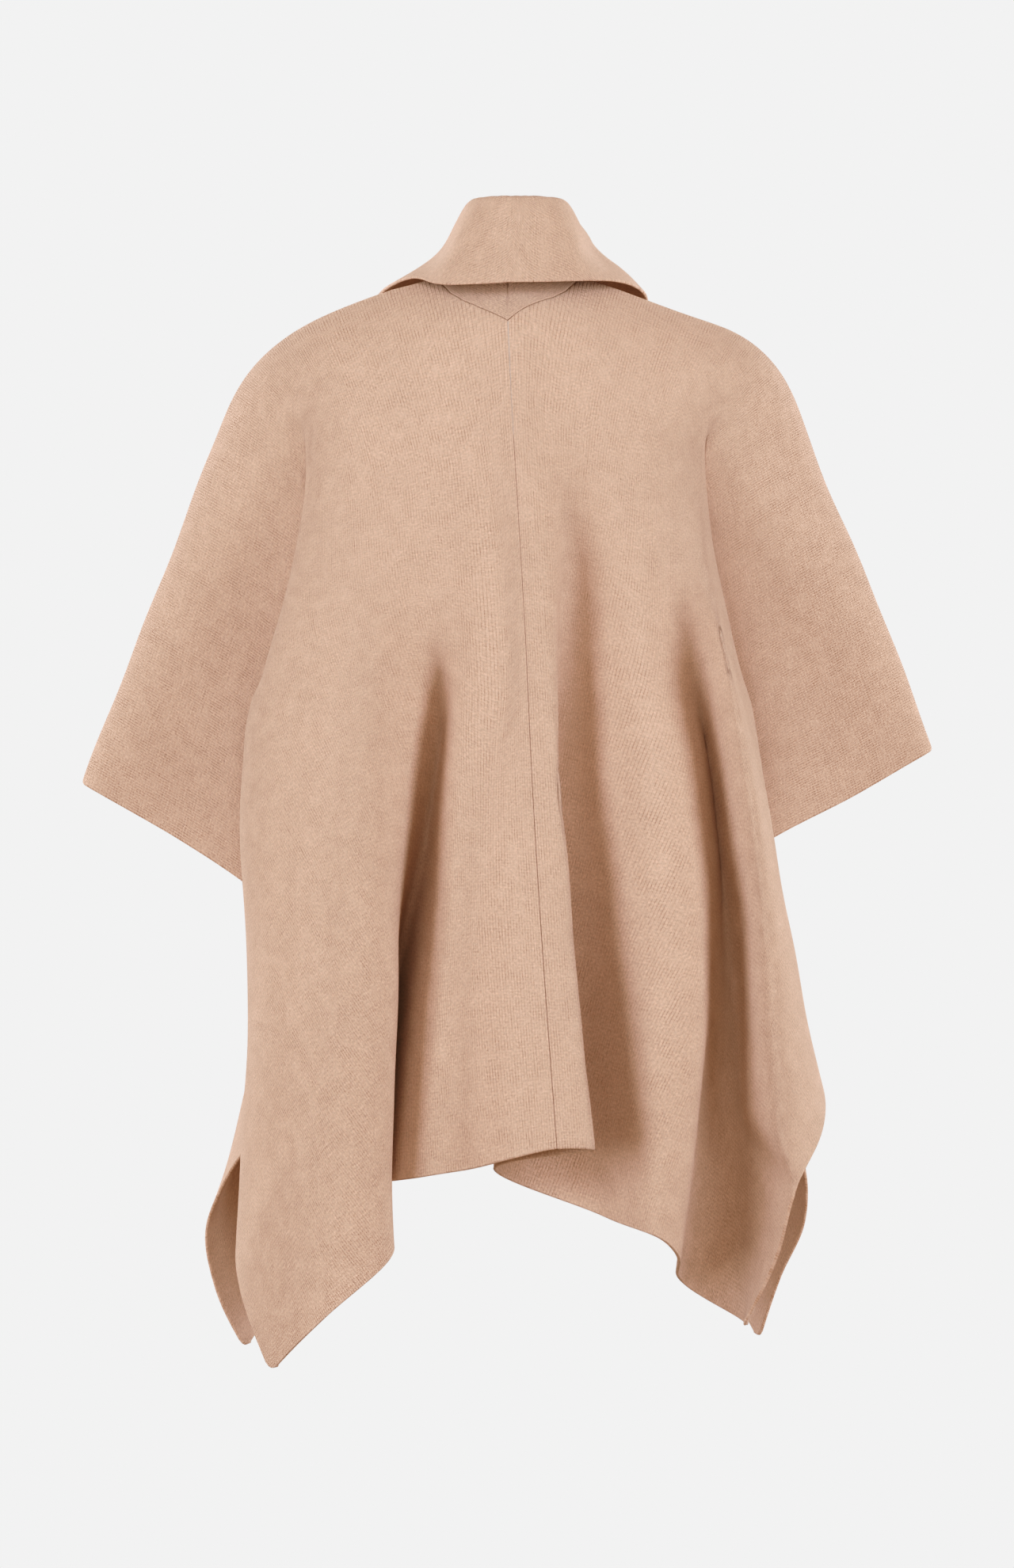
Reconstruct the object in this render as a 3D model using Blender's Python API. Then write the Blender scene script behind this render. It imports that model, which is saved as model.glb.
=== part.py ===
"""A worn poncho with a fold-over shawl collar, hollow, in its draped pose.

Metres, +Z up, the back of the garment towards +Y, the wearer's left at +X.
The origin is between the shoulders, at the base of the neck, on the line over
which the cloth is folded.

Each half of the poncho is one rectangle of cloth. A point of it is named by
(s, t): s runs across, from the centre seam to the side edge, and t runs along
the knitted ribs, from the fold over the shoulder and arm down to the hem. A
half is draped by fold lines: ridges, valleys and turned edges that run down
the cloth. A table row gives a line where it starts, at its middle and at its
end. Across the cloth, a smooth curve joins the lines.
"""

import math

import bmesh
import bpy
import numpy as np

# ---------------------------------------------------------------- sizes
HALF_WIDTH = 0.67  # centre seam to side edge, flat
LENGTH = 0.88  # shoulder fold to hem, flat, the same at back and front
CLOTH = 0.0030  # thickness of the felted double knit
SEAM_GAP = 0.0004  # between two pieces sewn together
NECK_BACK = 0.098  # depth of the V of the neckline at the back, flat
NECK_FRONT = 0.270  # and at the front
NECK_WIDTH = 0.044  # from the centre line to the neck point, flat
NOTCH = 0.0040  # half the width of the bottom of the front V, where both collar ends go in
COLLAR_ENDS = 0.0006  # above the bottom of the front V
ROUNDING = (0.004, 0.0075)  # of every fold along and across, in the flat cloth
CALM = 0.024  # the same over the shoulder blades
CALM_ALONG = (0.05, 0.13, 0.25, 0.38)  # where that begins and ends, along t
CALM_ACROSS = (0.08, 0.12, 0.215, 0.245)  # and across

# The neckline as it is cut: a pointed V at the front, a rounder one at the back.
NECKLINE = [
    # t     s
    (-NECK_FRONT - 0.005, SEAM_GAP / 2),
    (-NECK_FRONT, NOTCH),
    (-0.130, 0.026),
    (0.000, NECK_WIDTH),
    (0.041, 0.0355),
    (0.058, 0.0285),
    (0.075, 0.0180),
    (0.089, 0.0080),
    (NECK_BACK, SEAM_GAP / 2),
]

# The line over which a half is folded, seen from behind: level distances in
# metres, slopes in degrees below level. It slopes to the shoulder, turns, and
# runs down the arm. The pulls are how far the knit is drawn out along the line
# beside the neck, on the shoulder and down the arm.
FOLD_LINE = {
    "left": dict(top=0.0467, slope=20.0, bend_at=0.196, radius=0.135, arm=69.0, arm_pull=0.945),
    "right": dict(top=0.0453, slope=18.5, bend_at=0.212, radius=0.110, arm=68.1, arm_pull=0.895),
}
NECK_PULL, SHOULDER_PULL = 1.75, 1.20

# How the knitted ribs lean inwards from plumb, in degrees, just below the fold
# line and a hand's breadth further down.
RIB_LEAN = [
    # s     high   low
    (0.000, 0.0, 0.0),
    (0.040, 17.0, 3.0),
    (0.090, 21.0, 4.0),
    (0.140, 26.0, 7.0),
    (0.170, 31.0, 16.0),
    (0.200, 38.0, 34.0),
    (0.240, 50.0, 52.0),
    (0.300, 59.0, 57.0),
    (0.670, 61.0, 57.0),
]

# How far the cloth stands behind or before its fold line: bulge is the
# thickness of what is inside it there, spread how much further each metre of
# cloth hangs away.
FIGURE = [
    # s     bulge   spread
    (0.000, 0.118, 0.010),
    (0.110, 0.112, 0.010),
    (0.170, 0.092, 0.015),
    (0.230, 0.064, 0.040),
    (0.310, 0.045, 0.080),
    (0.440, 0.030, 0.120),
    (0.590, 0.017, 0.160),
    (0.670, 0.010, 0.170),
]
STEEPEST = 0.92  # of the cloth over the shoulder, as depth over length

# ------------------------------------------------------ drawing of the pose
# The tables below are set out on a drawing of the garment seen from behind:
# one unit is 0.75 mm in the plane of the shoulders, from 4.5 m away, at the
# height of the garment's middle. u runs to the right, v runs down.
UNIT = 0.00075
VIEW_DISTANCE = 4.5
DRAW_CENTRE = (640.0, 990.0)
SHOULDER_V = 380.0
CENTRE_Z = (SHOULDER_V - DRAW_CENTRE[1]) * UNIT


def seen(u, v, depth):
    """The point in space seen at (u, v), depth behind the shoulders."""
    scale = UNIT * (VIEW_DISTANCE - depth) / VIEW_DISTANCE
    return np.array(
        [
            -(u - DRAW_CENTRE[0]) * scale,
            depth,
            CENTRE_Z - (v - DRAW_CENTRE[1]) * scale,
        ]
    )


# A row is a fold line: where it starts on the smooth yoke (s0, t0), its middle
# and its end, each as a place of the flat cloth and where that is seen, with
# its depth d behind the shoulders (before them, where it is negative).
FOLD_COLUMNS = "name s0 t0 sm tm um vm dm s1 t1 u1 v1 d1".split()
FOLDS = {
    ("left", "back"): [
        ("ridge_by_seam", 0.015, 0.41, 0.027, 0.61, 642, 1083, 0.156, 0.047, 0.88, 640, 1463, 0.192),
        ("shallow", 0.035, 0.44, 0.056, 0.62, 602, 1095, 0.147, 0.082, 0.88, 598, 1474, 0.170),
        ("lip", 0.068, 0.21, 0.076, 0.56, 577, 1012, 0.148, 0.132, 0.88, 538, 1484, 0.178),
        ("valley", 0.088, 0.20, 0.114, 0.48, 557, 880, 0.100, 0.300, 0.88, 430, 1510, 0.050),
        ("turned_edge", 0.110, 0.21, 0.190, 0.57, 499, 1000, 0.150, 0.465, 0.88, 495, 1585, 0.200),
        ("ridge", 0.140, 0.20, 0.262, 0.55, 425, 1010, 0.178, 0.565, 0.88, 411, 1663, 0.225),
        ("outer_fold", 0.240, 0.11, 0.333, 0.49, 333, 1000, 0.150, 0.67, 0.76, 301, 1600, 0.165),
        ("inner_fold", 0.250, 0.115, 0.430, 0.26, 412, 925, 0.070, 0.67, 0.38, 450, 1280, 0.045),
    ],
    ("right", "back"): [
        ("turned_edge", 0.040, 0.17, 0.031, 0.57, 713, 1036, 0.160, 0.036, 0.88, 748, 1450, 0.200),
        ("turn_under", 0.048, 0.172, 0.060, 0.38, 703, 772, 0.112, 0.140, 0.88, 625, 1474, 0.155),
        ("under", 0.060, 0.175, 0.082, 0.38, 722, 774, 0.103, 0.262, 0.88, 765, 1536, 0.145),
        ("ridge", 0.135, 0.20, 0.203, 0.57, 838, 1062, 0.160, 0.348, 0.88, 842, 1570, 0.165),
        ("step", 0.145, 0.20, 0.258, 0.66, 874, 1208, 0.156, 0.366, 0.88, 853, 1581, 0.150),
        ("pocket", 0.155, 0.19, 0.307, 0.66, 899, 1216, 0.116, 0.450, 0.88, 858, 1614, 0.105),
        ("valley", 0.165, 0.18, 0.310, 0.56, 910, 1082, 0.095, 0.585, 0.87, 941, 1650, 0.104),
        ("crest", 0.200, 0.145, 0.375, 0.55, 948, 1062, 0.165, 0.67, 0.742, 1003, 1503, 0.150),
        ("outer_fold", 0.245, 0.125, 0.415, 0.52, 972, 1068, 0.145, 0.67, 0.69, 1034, 1440, 0.120),
        ("inner_fold", 0.253, 0.13, 0.430, 0.26, 905, 862, 0.060, 0.67, 0.37, 885, 1165, 0.020),
    ],
    ("left", "front"): [
        ("ridge", 0.050, 0.34, 0.055, 0.60, 585, 1060, -0.185, 0.075, 0.88, 572, 1432, -0.235),
        ("valley", 0.085, 0.30, 0.120, 0.58, 550, 1030, -0.120, 0.190, 0.88, 530, 1450, -0.120),
        ("crest", 0.125, 0.24, 0.200, 0.56, 480, 1020, -0.180, 0.330, 0.88, 455, 1500, -0.235),
        ("hollow", 0.170, 0.18, 0.265, 0.53, 425, 1000, -0.125, 0.470, 0.88, 415, 1580, -0.135),
        ("swell", 0.205, 0.14, 0.345, 0.56, 378, 1050, -0.170, 0.570, 0.88, 350, 1640, -0.210),
        ("outer_fold", 0.240, 0.11, 0.380, 0.45, 354, 1000, -0.130, 0.67, 0.655, 322, 1436, -0.130),
        ("inner_fold", 0.250, 0.115, 0.430, 0.26, 412, 925, -0.070, 0.67, 0.38, 450, 1280, -0.045),
    ],
    ("right", "front"): [
        ("ridge", 0.050, 0.34, 0.055, 0.60, 690, 1060, -0.185, 0.080, 0.88, 688, 1432, -0.235),
        ("valley", 0.085, 0.30, 0.120, 0.58, 730, 1030, -0.125, 0.190, 0.88, 730, 1445, -0.125),
        ("crest", 0.125, 0.24, 0.200, 0.56, 795, 1020, -0.180, 0.330, 0.88, 805, 1480, -0.230),
        ("hollow", 0.165, 0.18, 0.265, 0.53, 850, 1000, -0.125, 0.470, 0.88, 850, 1550, -0.140),
        ("swell", 0.205, 0.14, 0.365, 0.56, 905, 1060, -0.170, 0.570, 0.88, 915, 1620, -0.215),
        ("outer_fold", 0.245, 0.125, 0.380, 0.45, 944, 1000, -0.130, 0.67, 0.66, 1010, 1442, -0.135),
        ("inner_fold", 0.253, 0.13, 0.430, 0.26, 905, 862, -0.060, 0.67, 0.37, 885, 1165, -0.045),
    ],
}

# The free side edge, from the corner of the sleeve down to the corner of the
# hem, and the seam down the middle, from the neckline to the hem.
EDGE_COLUMNS = "t u v d".split()
EDGE = {
    ("left", "back"): [(0.105, 225, 1057, 0.026), (0.190, 321, 1122, 0.045), (0.380, 450, 1280, 0.045), (0.760, 301, 1600, 0.165), (0.88, 343, 1732, 0.195)],
    ("right", "back"): [(0.085, 1083, 1001, 0.024), (0.178, 971, 1059, 0.045), (0.370, 885, 1165, 0.020), (0.690, 1034, 1440, 0.120), (0.742, 1003, 1503, 0.150), (0.800, 983, 1580, 0.145), (0.88, 940, 1672, 0.125)],
    ("left", "front"): [(0.105, 228, 1050, -0.030), (0.190, 326, 1108, -0.050), (0.380, 450, 1280, -0.045), (0.520, 385, 1340, -0.155), (0.655, 322, 1436, -0.130), (0.715, 280, 1500, -0.145), (0.755, 262, 1552, -0.155), (0.805, 272, 1620, -0.160), (0.88, 310, 1703, -0.150)],
    ("right", "front"): [(0.085, 1080, 994, -0.030), (0.178, 966, 1048, -0.050), (0.370, 885, 1165, -0.045), (0.520, 945, 1290, -0.155), (0.660, 1010, 1442, -0.135), (0.700, 1022, 1498, -0.145), (0.735, 1019, 1540, -0.152), (0.800, 985, 1612, -0.160), (0.88, 958, 1691, -0.150)],
}
SEAM = {
    "back": [(0.098, 641, 403, 0.075), (0.22, 649, 566, 0.122), (0.38, 661, 779, 0.139), (0.57, 674, 1032, 0.152), (0.72, 687, 1232, 0.174), (0.88, 703, 1449, 0.196)],
    "front": [(0.27, 640, 610, -0.118), (0.50, 638, 915, -0.148), (0.70, 634, 1182, -0.175), (0.88, 630, 1427, -0.200)],
}

# The collar in sections, from the centre back to the bottom of the front V:
# tt is the place of its seam on the neckline (before the neck point where it
# is negative), rise the angle in degrees at which it leaves the panel; then
# the top of its roll (r), a point halfway down its fall (f) and its outer edge
# (e), as seen from behind.
COLLAR_COLUMNS = "tt rise ru rv rd fu fv fd eu ev ed".split()
COLLAR = {
    "left": [
        (0.098, 0, 652, 249, 0.058, 647, 308, 0.073, 641, 354.5, 0.074),
        (0.060, 5, 617, 250, 0.056, 606, 308, 0.064, 598, 357, 0.064),
        (0.025, 15, 594, 256, 0.034, 572, 310, 0.043, 552, 357, 0.037),
        (0.000, 30, 585, 273, 0.002, 561, 318, 0.008, 526, 350, 0.010),
        (-0.040, 45, 573, 304, -0.030, 533, 338, -0.030, 488, 364, -0.030),
        (-0.090, 55, 575, 338, -0.062, 522, 362, -0.074, 474, 394, -0.085),
        (-0.150, 65, 592, 400, -0.098, 540, 432, -0.118, 492, 470, -0.124),
        (-0.210, 80, 615, 490, -0.126, 574, 525, -0.140, 535, 560, -0.142),
        (-0.270, 90, 632, 585, -0.137, 614, 612, -0.147, 598, 640, -0.146),
    ],
    "right": [
        (0.098, 0, 652, 249, 0.058, 647, 308, 0.073, 641, 354.5, 0.074),
        (0.060, 5, 688, 250, 0.056, 692, 306, 0.064, 690, 354, 0.064),
        (0.025, 15, 713, 256, 0.034, 730, 310, 0.044, 742, 353, 0.037),
        (0.000, 30, 722, 274, 0.002, 745, 320, 0.008, 776, 354, 0.013),
        (-0.040, 45, 742, 304, -0.030, 784, 341, -0.030, 811, 368, -0.030),
        (-0.090, 55, 730, 342, -0.062, 786, 368, -0.076, 814, 405, -0.085),
        (-0.150, 65, 700, 405, -0.098, 748, 437, -0.118, 790, 475, -0.124),
        (-0.210, 80, 668, 490, -0.126, 708, 525, -0.140, 745, 560, -0.142),
        (-0.270, 90, 648, 585, -0.137, 666, 612, -0.147, 682, 640, -0.146),
    ],
}
EASE = 0.82  # how much a fold line leaves the ribs of the yoke at its start
ROLL = 0.0085  # half the thickness of the roll at the top of the collar


# ---------------------------------------------------------------- geometry
def column(table, x, k):
    rows = np.array([[r[0], r[k]] for r in table], float)
    return np.interp(x, rows[:, 0], rows[:, 1])


def unit(v):
    return v / np.maximum(np.linalg.norm(v, axis=-1, keepdims=True), 1e-12)


def fold_line(side, s):
    """The point of the fold over shoulder and arm at s, as x (outwards) and z."""
    f = FOLD_LINE[side]
    a, b = math.radians(f["slope"]), math.radians(f["arm"])
    r, at = f["radius"], f["bend_at"]
    turned = r * (b - a)
    s = np.asarray(s, float)
    beside = NECK_WIDTH * NECK_PULL
    s_bend = NECK_WIDTH + (at - beside) / SHOULDER_PULL
    d = np.interp(s, [0, NECK_WIDTH, s_bend, 1.5], [0, beside, at, at + (1.5 - s_bend) * f["arm_pull"]])
    on_arc = np.clip(d - at, 0, turned) / r + a
    past = np.maximum(d - at - turned, 0)
    level = np.minimum(d, at)
    x = level * math.cos(a) + r * (np.sin(on_arc) - math.sin(a)) + past * math.cos(b)
    z = f["top"] - level * math.sin(a) - r * (math.cos(a) - np.cos(on_arc)) - past * math.sin(b)
    return x, z


FINE = np.linspace(0, 1.0, 201)


def yoke(side, way, s, t):
    """The smooth shape near the fold line, for arrays s and t. way is 1 at the
    back and -1 at the front."""
    s, t = np.broadcast_arrays(np.asarray(s, float), np.asarray(t, float))
    x, z = fold_line(side, s)
    bulge, spread = column(FIGURE, s, 1), column(FIGURE, s, 2)
    reach = bulge / STEEPEST
    slope = STEEPEST / np.cosh(FINE * 3) ** 2
    # Length lost to depth, as a share of reach, at t / reach = 3 * FINE.
    lost = np.concatenate([[0], np.cumsum((1 - np.sqrt(1 - slope[1:] ** 2)) * 3 * (FINE[1] - FINE[0]))])
    down = t - reach * np.interp(t / reach, 3 * FINE, lost)
    half = np.clip(t / 2 / 0.30, 0, 1)
    lean = np.radians(column(RIB_LEAN, s, 1) * (1 - half) + column(RIB_LEAN, s, 2) * half)
    depth = bulge * np.tanh(t / reach) + spread * t
    out = 1.0 if side == "left" else -1.0
    return np.stack([out * (x - down * np.sin(lean)), way * depth, z - down * np.cos(lean)], -1)


def through(ts, points, t):
    """A smooth curve through points at ts, read at t; straight past its ends."""
    ts, points = np.asarray(ts, float), np.asarray(points, float)
    h = np.diff(ts)[:, None]
    step = np.diff(points, axis=0) / h
    m = np.empty_like(points)
    m[1:-1] = (step[:-1] * h[1:] + step[1:] * h[:-1]) / (h[:-1] + h[1:])
    m[0], m[-1] = 1.5 * step[0] - 0.5 * m[1], 1.5 * step[-1] - 0.5 * m[-2]
    t = np.asarray(t, float)
    k = np.clip(np.searchsorted(ts, t, side="right") - 1, 0, len(ts) - 2)
    w = (t - ts[k]) / h[k, 0]
    w_in = np.clip(w, 0, 1)[..., None]
    hk = h[k]
    cubic = (
        (2 * w_in**3 - 3 * w_in**2 + 1) * points[k]
        + (w_in**3 - 2 * w_in**2 + w_in) * hk * m[k]
        + (3 * w_in**2 - 2 * w_in**3) * points[k + 1]
        + (w_in**3 - w_in**2) * hk * m[k + 1]
    )
    past = (w[..., None] - w_in) * hk
    return cubic + np.where(w[..., None] > 1, past * m[-1], past * m[0])


class Quarter:
    """One quarter of the poncho: a half's back or its front."""

    def __init__(self, side, face):
        self.side, self.way = side, 1 if face == "back" else -1
        self.neck = NECK_BACK if face == "back" else NECK_FRONT
        self.seam_t = [r[0] for r in SEAM[face]]
        self.seam_at = np.array([seen(*r[1:]) for r in SEAM[face]])
        self.lines = []
        folds = FOLDS[side, face]
        for row in folds:
            r = dict(zip(FOLD_COLUMNS, row))
            ts = [r["t0"] - 0.01, r["t0"], r["tm"], r["t1"]]
            flat = [r["s0"], r["s0"], r["sm"], r["s1"]]
            start, middle = self.rest(r["s0"], r["t0"]), seen(r["um"], r["vm"], r["dm"])
            along_rib = (start - self.rest(r["s0"], ts[0])) / 0.01
            chord = (middle - start) / (r["tm"] - r["t0"])
            just = start - 0.01 * ((1 - EASE) * along_rib + EASE * chord)
            at = [just, start, middle, seen(r["u1"], r["v1"], r["d1"])]
            self.lines.append((r["s0"], r["t0"], ts, np.array(flat)[:, None], np.array(at)))
        inner = dict(zip(FOLD_COLUMNS, folds[-1]))
        slope = (HALF_WIDTH - inner["s0"]) / (inner["t1"] - inner["t0"])
        edge = EDGE[side, face]
        rows = [(0.0, self.rest(HALF_WIDTH, 0.0))] + [(r[0], seen(*r[1:])) for r in edge]
        self.edge_t, self.edge_at = [r[0] for r in rows], np.array([r[1] for r in rows])
        # Between the inner fold and the side edge the sleeve is nearly flat:
        # its lines run as the inner fold does, from the yoke to the edge.
        for s0 in (0.31, 0.38, 0.46, 0.54, 0.61):
            t0 = 0.10
            t1 = t0 + (HALF_WIDTH - s0) / slope
            start, end = self.rest(s0, t0), through(self.edge_t, self.edge_at, t1)
            ts = [t0 - 0.01, t0, (t0 + t1) / 2, t1]
            flat = [s0, s0, (s0 + HALF_WIDTH) / 2, HALF_WIDTH]
            at = [self.rest(s0, t0 - 0.01), start, (start + end) / 2, end]
            self.lines.append((s0, t0, ts, np.array(flat)[:, None], np.array(at)))

    def seam(self, t):
        return through(self.seam_t, self.seam_at, t)

    def rest(self, s, t):
        """The yoke, moved over so that it meets the seam."""
        low = max(t, self.neck)
        drift = self.seam(low) - yoke(self.side, self.way, 0, low)
        return yoke(self.side, self.way, s, t) + drift * math.exp(-((s / 0.12) ** 2)) * min(t / self.neck, 1)

    def keys(self, t):
        """The fold lines that cross the row at t: their s and their points."""
        found = [(0.0, self.seam(t) if t > self.neck else self.rest(0.0, t))]
        for s0, t0, ts, flat, at in self.lines:
            if t <= t0:
                found.append((s0, self.rest(s0, t)))
            else:
                found.append((float(through(ts, flat, t)[0]), through(ts, at, t)))
        edge = through(self.edge_t, self.edge_at, t)
        if t < 0.10:
            edge = (1 - t / 0.10) * self.rest(HALF_WIDTH, t) + t / 0.10 * edge
        kept = [found[0]]
        for s, p in sorted(found[1:], key=lambda f: f[0]):
            if s > HALF_WIDTH - 0.006:
                break
            if s - kept[-1][0] > 0.004:
                kept.append((s, p))
        kept.append((HALF_WIDTH, edge))
        return kept


    def creases(self, t):
        """Where every fold line is on the row at t, in order and kept apart,
        those that have run out at the side edge drawn up against it."""
        s = [s0 if t <= t0 else float(through(ts, flat, t)[0]) for s0, t0, ts, flat, at in self.lines]
        n = len(s)
        s = [min(x, HALF_WIDTH - LEAST_GAP * (n - i)) for i, x in enumerate(s)]
        for i in range(n):
            s[i] = max(s[i], LEAST_GAP + (s[i - 1] if i else float(neckline(t))))
        return [float(neckline(t))] + s + [HALF_WIDTH]


def whole_cloth(ss, ts):
    """Both halves as one surface, for s below 0 in the right half and t below 0
    at the front: points at every (t, s), with every fold rounded."""
    quarters = {(side, face): Quarter(side, face) for side in ("left", "right") for face in ("back", "front")}
    out = np.empty((len(ts), len(ss), 3))
    for j, t in enumerate(ts):
        face = "back" if t >= 0 else "front"
        left = quarters["left", face].keys(abs(t))
        right = quarters["right", face].keys(abs(t))
        keys = [(-s, p) for s, p in right[:0:-1]] + left
        out[j] = through([k[0] for k in keys], [k[1] for k in keys], ss)
    steps = ts[1] - ts[0], ss[1] - ss[0]
    out = rounded(rounded(out, steps[0], 0, ROUNDING[0]), steps[1], 1, ROUNDING[1])
    # Over the shoulder blades the folds have not yet begun.
    soft = rounded(rounded(out, steps[0], 0, CALM), steps[1], 1, CALM)
    window = eased(ts, *CALM_ALONG)[:, None] * eased(np.abs(ss), *CALM_ACROSS)[None]
    return out + (soft - out) * window[..., None]


def eased(x, a, b, c, d):
    """0 up to a, 1 from b to c, 0 from d on, with soft steps between."""
    up, down = np.clip((x - a) / (b - a), 0, 1), np.clip((d - x) / (d - c), 0, 1)
    w = np.minimum(up, down)
    return w * w * (3 - 2 * w)


def rounded(points, step, axis, reach):
    """Points after a running mean, which leaves the edges where they are."""
    n = int(math.ceil(3 * reach / step))
    weight = np.exp(-0.5 * (np.arange(-n, n + 1) * step / reach) ** 2)
    weight /= weight.sum()
    p = np.moveaxis(points, axis, 0)
    before = 2 * p[:1] - p[n:0:-1]
    after = 2 * p[-1:] - p[-2 : -n - 2 : -1]
    padded = np.concatenate([before, p, after])
    out = sum(w * padded[k : k + len(p)] for k, w in enumerate(weight))
    return np.moveaxis(out, 0, axis)


class Cloth:
    """The draped surface, read at any (s, t)."""

    def __init__(self, across=269, along=353):
        self.ss = np.linspace(-HALF_WIDTH, HALF_WIDTH, across)
        self.ts = np.linspace(-LENGTH, LENGTH, along)
        self.points = whole_cloth(self.ss, self.ts)
        ds = np.gradient(self.points, self.ss, axis=1)
        dt = np.gradient(self.points, self.ts, axis=0)
        self.normals = unit(np.cross(ds, dt))

    def read(self, values, s, t):
        x = (np.asarray(s, float) - self.ss[0]) / (self.ss[1] - self.ss[0])
        y = (np.asarray(t, float) - self.ts[0]) / (self.ts[1] - self.ts[0])
        i = np.clip(np.floor(x).astype(int), 0, len(self.ss) - 2)
        j = np.clip(np.floor(y).astype(int), 0, len(self.ts) - 2)
        a, b = (x - i)[..., None], (y - j)[..., None]
        top = values[j, i] * (1 - a) + values[j, i + 1] * a
        low = values[j + 1, i] * (1 - a) + values[j + 1, i + 1] * a
        return top * (1 - b) + low * b

    def at(self, s, t):
        return self.read(self.points, s, t)

    def normal(self, s, t):
        return unit(self.read(self.normals, s, t))


def neckline(t):
    """How far from the centre line a half begins, on the row at t."""
    return column(NECKLINE, t, 1)


def panel_columns(side, ts):
    """The s of a half's columns on every row, from its inner edge to its side
    edge: evenly spread at the front, and along the fold lines at the back."""
    back = Quarter(side, "back")
    lines = np.array([back.creases(t) for t in ts])
    low = lines[np.asarray(ts) > 0.1]
    spans = [max(1, round(gap / COLUMN_GAP)) for gap in np.diff(low, axis=1).max(0)]
    shares = np.concatenate([i + np.arange(n) / n for i, n in enumerate(spans)] + [[len(spans)]])
    out = []
    for t, line in zip(ts, lines):
        even = np.linspace(line[0], HALF_WIDTH, len(shares))
        w = min(max(t / 0.12, 0), 1)
        w = w * w * (3 - 2 * w)
        out.append((1 - w) * even + w * np.interp(shares, np.arange(len(line)), line))
    return np.array(out)


def panel(cloth, side, ts):
    """A half as a grid of points and normals."""
    s = panel_columns(side, ts)
    t = np.broadcast_to(np.asarray(ts)[:, None], s.shape)
    sign = 1 if side == "left" else -1
    return cloth.at(sign * s, t), cloth.normal(sign * s, t)


def collar_section(cloth, side, tt, across):
    """The collar's section that is sewn on at tt: points from seam to outer edge."""
    sign = 1 if side == "left" else -1
    table = sorted(COLLAR[side])
    key = [r[0] for r in table]
    rise, ru, rv, rd, fu, fv, fd, eu, ev, ed = through(key, [r[1:] for r in table], tt)
    rise = math.radians(min(max(rise, 0), 90))
    s = float(neckline(tt))
    seam, up = cloth.at(sign * s, tt), cloth.normal(sign * s, tt)
    if tt > NECK_BACK - 1e-6:
        away = unit(cloth.at(0, tt - 0.004) - cloth.at(0, tt + 0.004))
    else:
        along = unit(cloth.at(sign * neckline(tt + 0.003), tt + 0.003) - cloth.at(sign * neckline(tt - 0.003), tt - 0.003))
        away = cloth.at(sign * (s - 0.002), tt) - cloth.at(sign * (s + 0.002), tt)
        away = unit(away - np.dot(away, along) * along)
    first = seam + away * (SEAM_GAP + CLOTH / 2 * math.sin(rise))
    leave = away * math.cos(rise) + up * math.sin(rise)
    # At the nape every section goes straight up, however the seam slants.
    plumb = unit(cloth.at(0, 0.04) - cloth.at(0, 0.09))
    w = 0.8 * min(max(tt / 0.05, 0), 1)
    leave = unit(leave * (1 - w) + plumb * w)
    roll, fall, edge = seen(ru, rv, rd), seen(fu, fv, fd), seen(eu, ev, ed)
    out = roll * [1, 1, 0] - np.array([-0.006, 0.0, 0.0])
    out = unit(out)
    drop = np.array([0, 0, -1.4 * ROLL])
    inside, outside = roll + drop - out * ROLL, roll + drop + out * ROLL
    length = np.linalg.norm(inside - first)
    low = first + leave * 0.22 * length
    stand = (first + leave * 0.55 * length + inside) / 2
    path = np.array([first, low, stand, inside, roll, outside, fall, edge])
    run = np.concatenate([[0], np.cumsum(np.linalg.norm(np.diff(path, axis=0), axis=1))])
    return through(run, path, np.asarray(across) * run[-1]), up * math.cos(rise) - away * math.sin(rise)


def collar(cloth, tts, across):
    """The collar as a grid of points and normals, from its left end to its right end."""
    rows = [collar_section(cloth, "left", t, across) for t in tts]
    rows += [collar_section(cloth, "right", t, across) for t in tts[-2::-1]]
    points = np.array([r[0] for r in rows])
    # Even the sections out, less and less towards the seam.
    free = np.clip(np.asarray(across) / 0.25, 0, 1)[None, :, None]
    for _ in range(2):
        mean = points.copy()
        mean[1:-1] = (points[:-2] + 2 * points[1:-1] + points[2:]) / 4
        points = points + (mean - points) * free
    normals = unit(np.cross(np.gradient(points, axis=0), np.gradient(points, axis=1)))
    sewn = np.array([r[1] for r in rows])
    sign = np.sign((normals[:, :1] * sewn[:, None]).sum(-1, keepdims=True))
    near = np.clip(1 - np.asarray(across) / 0.15, 0, 1)[None, :, None]
    return points, unit(normals * (1 - near) + sign * sewn[:, None] * near)


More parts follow.
